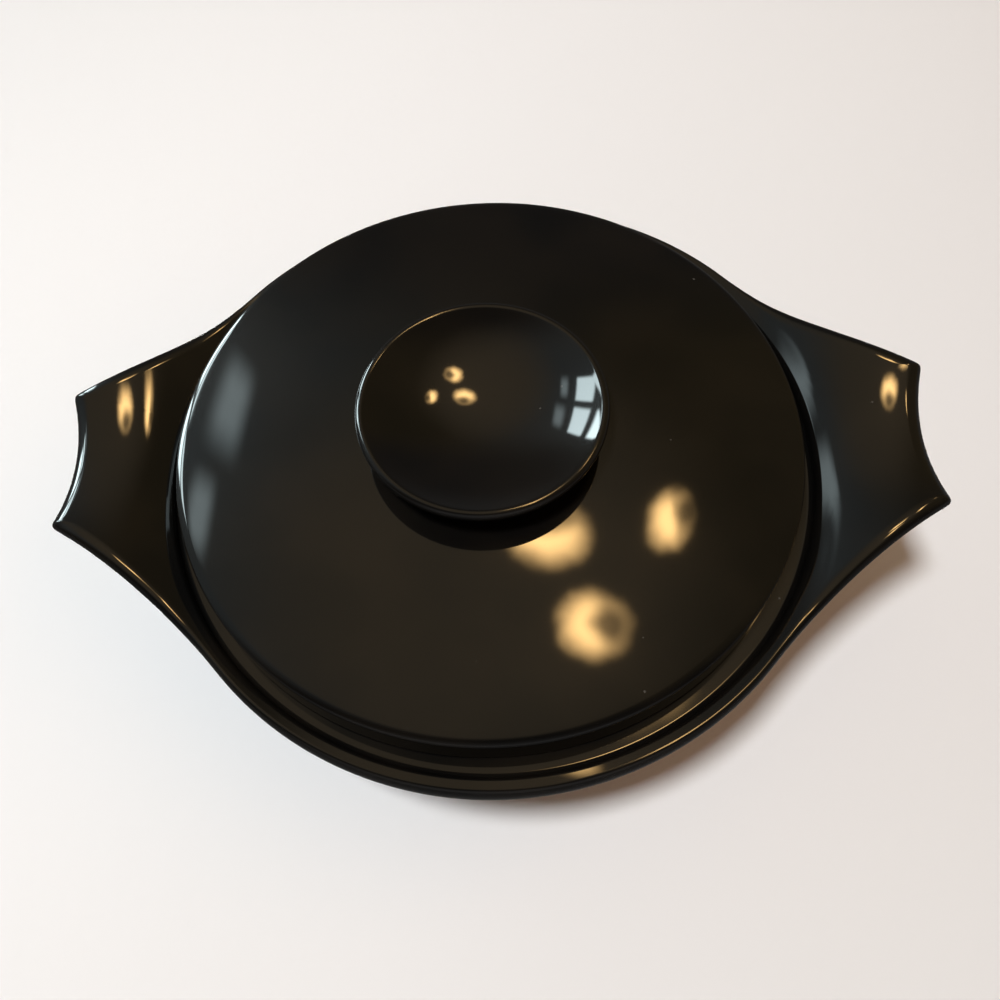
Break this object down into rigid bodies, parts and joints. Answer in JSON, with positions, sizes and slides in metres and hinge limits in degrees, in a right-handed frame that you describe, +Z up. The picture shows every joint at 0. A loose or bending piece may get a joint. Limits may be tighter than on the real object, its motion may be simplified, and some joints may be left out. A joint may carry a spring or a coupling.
{
  "type": "casserole dish",
  "caption": "Round covered casserole in black glazed stoneware: footed dish with fishtail handles on a flared rim, and a loose domed lid with a dished knob.",
  "frame": {"origin": "centre of the foot ring's underside, on the table", "axes": "+X along the two handles toward the right one, +Z up"},
  "size_m": [0.2716, 0.2144, 0.0926],
  "materials": {
    "dish_glaze": "gloss",
    "lid_glaze": "gloss",
    "knob_glaze": "gloss"
  },
  "bodies": {
    "dish": {"dish": "dish_glaze"},
    "lid": {"lid": "lid_glaze", "knob": "knob_glaze"}
  },
  "joints": [
    {"name": "lid_lift", "type": "slide", "parent": "dish", "child": "lid", "axis": [0, 0, 1], "range_m": [0, 0.12]}
  ]
}
